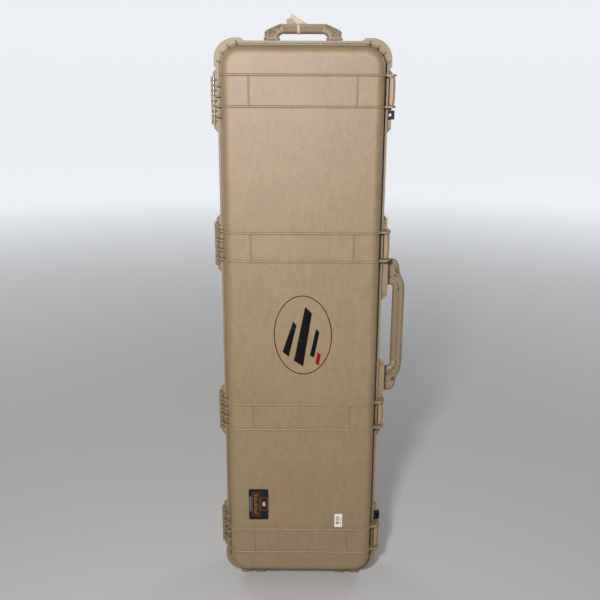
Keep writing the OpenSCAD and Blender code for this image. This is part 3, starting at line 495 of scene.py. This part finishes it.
def cut_foam(name, node, body, voxel, shape=None):
    """A foam block in the space that the case keeps for it, its edges softened."""
    shrink, coarse, fine = 0.0008, 0.0006, 0.0003   # below the surface, and its unevenness
    block = bpy.data.objects.new(name, nodes[node].data.copy())
    bpy.context.collection.objects.link(block)
    remesh = block.modifiers.new("even faces", "REMESH")
    remesh.mode = "VOXEL"
    remesh.voxel_size = voxel
    smooth = block.modifiers.new("soft edges", "SMOOTH")
    smooth.factor = 0.5
    smooth.iterations = 3
    mesh = applied(block)
    surface = [(vertex.co.copy(), vertex.normal.copy()) for vertex in mesh.vertices]
    for vertex, (place, normal) in zip(mesh.vertices, surface):
        rough = noise.noise(place * 24) * coarse + noise.noise(place * 90) * fine
        place = place - normal * (shrink + rough)
        vertex.co = shape(place, normal) if shape else place
    for face in mesh.polygons:
        face.use_smooth = True
    mesh.materials.clear()
    mesh.materials.append(foam_finish.material)
    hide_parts(node)
    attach(block, body)


lid_foam_low, lid_foam_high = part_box("lid_foam")
crest_pitch = 0.052
crest_depth = 0.019
flat_rim, rim_rise = 0.008, 0.02                    # uncut margin, and where the depth is full


def convoluted(place, normal):
    """Crests and hollows in the face that looks towards the base."""
    faces_base = normal.y >= 0.6 and place.y >= lid_foam_high.y - 0.006
    if not faces_base:
        return place
    edge = min(place.x - lid_foam_low.x, lid_foam_high.x - place.x,
               place.z - lid_foam_low.z, lid_foam_high.z - place.z)
    across = math.cos(math.tau * (place.x - middle_x) / crest_pitch)
    along = math.cos(math.tau * place.z / crest_pitch)
    fade = min(1, max(0, edge - flat_rim) / rim_rise)
    hollow = crest_depth * (0.5 - 0.5 * across * along) * fade
    return place - Vector((0, hollow, 0))


cut_foam("lid_convoluted_foam", "lid_foam", "lid", 0.006, convoluted)
cut_foam("base_bay_foam", "base_foam_frame", "base", 0.005)
cut_foam("base_floor_foam", "base_foam_pad", "base", 0.007)


# ---- Printed marks ----------------------------------------------------------
# Plain stand-in marks on the lid: an oval line with slanted bars screen printed
# on the plastic, a dark film label with bronze frames and gold and grey bars, and
# a small white paper sticker. Each is a thin layer on the lid's face.

lid_skin = 0.0049                                   # from the foam's face to the lid's
lid_face_y = lid_foam_low.y - lid_skin
film_depth = 0.00012
on_film = 0.00014                                   # a second layer lies this much further out


def outline_box(left, low, right, high, corner=0.0):
    """Corner points of a box, each corner rounded where corner is above 0."""
    if not corner:
        return [(left, low), (right, low), (right, high), (left, high)]
    points = []
    for x, z, start in ((right - corner, low + corner, -90), (right - corner, high - corner, 0),
                        (left + corner, high - corner, 90), (left + corner, low + corner, 180)):
        for step in range(7):
            turn = math.radians(start + 15 * step)
            points.append((x + corner * math.cos(turn), z + corner * math.sin(turn)))
    return points


def outline_ring(outer, inner):
    """A ring as four-sided pieces between two outlines of as many points."""
    count = len(outer)
    return [[outer[k], outer[(k + 1) % count], inner[(k + 1) % count], inner[k]]
            for k in range(count)]


def print_on_lid(name, outlines, finish, lift=0):
    """Flat shapes, given in millimetres from the lid's middle line and the floor."""
    shape = bmesh.new()
    for outline in outlines:
        corners = [shape.verts.new((middle_x + x / 1000, lid_face_y - lift, z / 1000))
                   for x, z in outline]
        face = shape.faces.new(corners)
        if face.normal.y > 0:
            face.normal_flip()
        raised = bmesh.ops.extrude_face_region(shape, geom=[face])
        for part in raised["geom"]:
            if isinstance(part, bmesh.types.BMVert):
                part.co.y -= film_depth
    bmesh.ops.recalc_face_normals(shape, faces=shape.faces)
    layer = placed(name, shape, smooth=False)
    layer.data.materials.append(finish.material)
    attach(layer, "lid")


def ink(name, tone, faded, roughness, wear=0.6):
    """A printed layer, thinner where the plastic's grain pushes through."""
    finish = Finish(name, Specular_IOR_Level=0.08)
    grain = finish.noise(900, 2)
    rubbed = finish.between(finish.noise(60, 4, 0.6), 0.55, 0.75) * wear
    finish.feed(
        Base_Color=finish.mix(rubbed * grain, tone, faded),
        Roughness=roughness + 0.2 * rubbed,
        Normal=finish.bump(grain, 0.0001, 0.4),
    )
    return finish


black_ink = ink("black_screen_ink", (0.004, 0.004, 0.004, 1), (0.05, 0.036, 0.022, 1), 0.5)
red_ink = ink("red_screen_ink", (0.185, 0.008, 0.004, 1), (0.22, 0.05, 0.025, 1), 0.5)


def oval(half_width, half_height):
    """An upright oval round the mark's middle, leaning a little to the left."""
    middle, height = 3, 681.3
    tilt = math.radians(1.7)
    points = []
    for step in range(96):
        turn = math.tau * step / 96
        x, z = half_width * math.cos(turn), half_height * math.sin(turn)
        points.append((middle + x * math.cos(tilt) - z * math.sin(tilt),
                       height + x * math.sin(tilt) + z * math.cos(tilt)))
    return points


print_on_lid("oval_line", outline_ring(oval(68.4, 97.9), oval(66.2, 95.7)), black_ink)
print_on_lid("oval_bars", [
    [(-45, 640), (-30, 628), (-12, 706), (-20, 716)],
    [(-18, 618), (4, 604), (24, 736), (8, 752)],
    [(20, 632), (30, 626), (42, 690), (34, 698)],
], black_ink)
print_on_lid("oval_red_bar", [[(33, 612), (41, 606), (46, 634), (38, 640)]], red_ink)

film = ink("black_label_film", (0.014, 0.014, 0.015, 1), (0.04, 0.035, 0.03, 1), 0.3, 0.3)
bronze = ink("bronze_label_ink", (0.12, 0.042, 0.012, 1), (0.06, 0.025, 0.01, 1), 0.4)
gold = ink("gold_label_ink", (0.19, 0.105, 0.018, 1), (0.09, 0.045, 0.012, 1), 0.4)
grey_ink = ink("grey_label_ink", (0.17, 0.17, 0.17, 1), (0.06, 0.06, 0.06, 1), 0.5)
pale_ink = ink("pale_label_ink", (0.45, 0.37, 0.19, 1), (0.2, 0.17, 0.1, 1), 0.4)

print_on_lid("film_label", [outline_box(-130.5, 189, -81, 275, 4)], film)
print_on_lid(
    "film_label_frames",
    outline_ring(outline_box(-122.5, 199, -102.5, 266, 1.5),
                 outline_box(-120.3, 201.2, -104.7, 263.8, 0.6))
    + outline_ring(outline_box(-101, 214, -83.5, 252, 3),
                   outline_box(-98.8, 216.2, -85.7, 249.8, 1.5)),
    bronze, on_film)
print_on_lid(
    "film_label_bars",
    [outline_box(-117.5, 205 + 6.4 * row, -117.5 + width, 208.6 + 6.4 * row)
     for row, width in enumerate((10, 7, 9.5, 8, 10, 6, 9, 8.5, 10))],
    gold, on_film)
print_on_lid("film_label_spot", [outline_box(-96, 227, -89, 239, 2)], pale_ink, on_film)
print_on_lid(
    "film_label_ticks",
    [outline_box(-128.5, 213 + 5.2 * row, -124, 216.4 + 5.2 * row) for row in range(8)],
    grey_ink, on_film)

sticker_paper = ink("white_sticker_paper", (0.70, 0.67, 0.60, 1), (0.55, 0.51, 0.44, 1), 0.6)
sticker_ink = ink("grey_sticker_ink", (0.23, 0.21, 0.19, 1), (0.4, 0.37, 0.33, 1), 0.6)
print_on_lid("paper_sticker", [outline_box(85.6, 168.5, 105.3, 205.8, 1.5)], sticker_paper)
print_on_lid(
    "paper_sticker_bars",
    [outline_box(89.5, 177, 97, 184), outline_box(89.5, 187, 97, 190.5),
     outline_box(89.5, 193.5, 97, 198)]
    + [outline_box(99.8, 176 + 5.5 * row, 102, 178.6 + 5.5 * row) for row in range(4)],
    sticker_ink, on_film)


# ---- Paper tag --------------------------------------------------------------
# A narrow strip is looped round the end handle's
# grip, and its stuck ends stand on the bow as a cream flag that leans to the
# left, with a leaf under it whose paper is painted darker for the shade it lies in.

def tag_paper(name, tone, stained):
    finish = Finish(name, Specular_IOR_Level=0.3)
    fibres = finish.noise(1, 4, 0.6, finish.stretched((500, 500, 60)))
    stain = finish.between(finish.noise(70, 3), 0.45, 0.7)
    finish.feed(
        Base_Color=finish.mix(stain * 0.5 + fibres * 0.2, tone, stained),
        Roughness=0.7 + 0.15 * fibres,
        Normal=finish.bump(fibres, 0.00015, 0.5),
    )
    return finish


paper = tag_paper("cream_tag_paper", (0.56, 0.46, 0.345, 1), (0.43, 0.34, 0.24, 1))
# The same paper painted darker, as painted shade for the leaf under the flag.
painted_shadow_paper = tag_paper("painted_shadow_tag_paper", (0.40, 0.315, 0.25, 1), (0.31, 0.235, 0.18, 1))

strap_low, strap_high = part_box("tag_strap")
strap_x = (strap_low.x + strap_high.x) / 2
strap_y = (strap_low.y + strap_high.y) / 2
grip_low, grip_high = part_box("end_grip")
end_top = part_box("end_handle")[1].z
strip_width, strip_depth = 0.0062, 0.0005
loop_middle = Vector((strap_x, strap_y, (grip_low.z + end_top) / 2))
half_deep = (grip_high.y - grip_low.y) / 2 + 0.0006
half_high = (end_top - grip_low.z) / 2
half_wide, half_thick = strip_width / 2, strip_depth / 2

strip = bmesh.new()
path = []
for step in range(25):
    turn = math.radians(-90 + 360 * step / 24)
    squarer = 1 + 0.18 * abs(math.sin(2 * turn))
    path.append(loop_middle + Vector(
        (0, half_deep * math.cos(turn) * squarer, 1.05 * half_high * math.sin(turn))))
cuts = []
for k, point in enumerate(path):
    ahead = path[min(k + 1, len(path) - 1)] - path[max(k - 1, 0)]
    side = Vector((1, 0, 0))
    up = ahead.cross(side).normalized()
    cuts.append([strip.verts.new(point + side * (half_wide * across) + up * (half_thick * out))
                 for across, out in ((-1, -1), (1, -1), (1, 1), (-1, 1))])
for first, second in zip(cuts, cuts[1:]):
    for k in range(4):
        strip.faces.new((first[k], first[(k + 1) % 4], second[(k + 1) % 4], second[k]))
strip.faces.new(cuts[0])
strip.faces.new(cuts[-1])
bmesh.ops.recalc_face_normals(strip, faces=strip.faces)
loop = placed("tag_loop", strip)
loop.data.materials.append(paper.material)


def paper_leaf(name, finish, foot, tip, behind):
    """A leaf that stands on the bow, slightly curled. Foot and tip are each two
    points in millimetres, across from the loop and up from the bow."""
    curl = 0.0015
    sheet = bmesh.new()
    rows = []
    for k in range(9):
        left, right = (Vector(low).lerp(Vector(high), k / 8) for low, high in zip(foot, tip))
        bend = strap_y + behind + curl * math.sin(math.pi * k / 8)
        row = [left.lerp(right, j / 4) / 1000 for j in range(5)]
        rows.append([sheet.verts.new((strap_x + p.x, bend, end_top + p.y)) for p in row])
    for first, second in zip(rows, rows[1:]):
        for j in range(4):
            sheet.faces.new((first[j], first[j + 1], second[j + 1], second[j]))
    leaf = placed(name, sheet)
    leaf.data.materials.append(finish.material)
    card = leaf.modifiers.new("card", "SOLIDIFY")
    card.thickness = 0.0009
    card.offset = 0
    return leaf


tag_top = (strap_high.z - end_top) * 1000 - 0.4     # millimetres above the bow
flag = paper_leaf("tag_flag", paper, [(-4.9, 0.4), (18.7, 0.4)],
                  [(-17.8, 0.56 * tag_top), (-16.3, tag_top)], 0)
under_leaf = paper_leaf("tag_under_leaf", painted_shadow_paper, [(-25.6, 0.4), (-4, 0.4)],
                        [(-27.6, 9), (-14.5, 13.8)], 0.0013)
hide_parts("tag_strap")
for piece in (loop, flag, under_leaf):
    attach(piece, "end_handle")
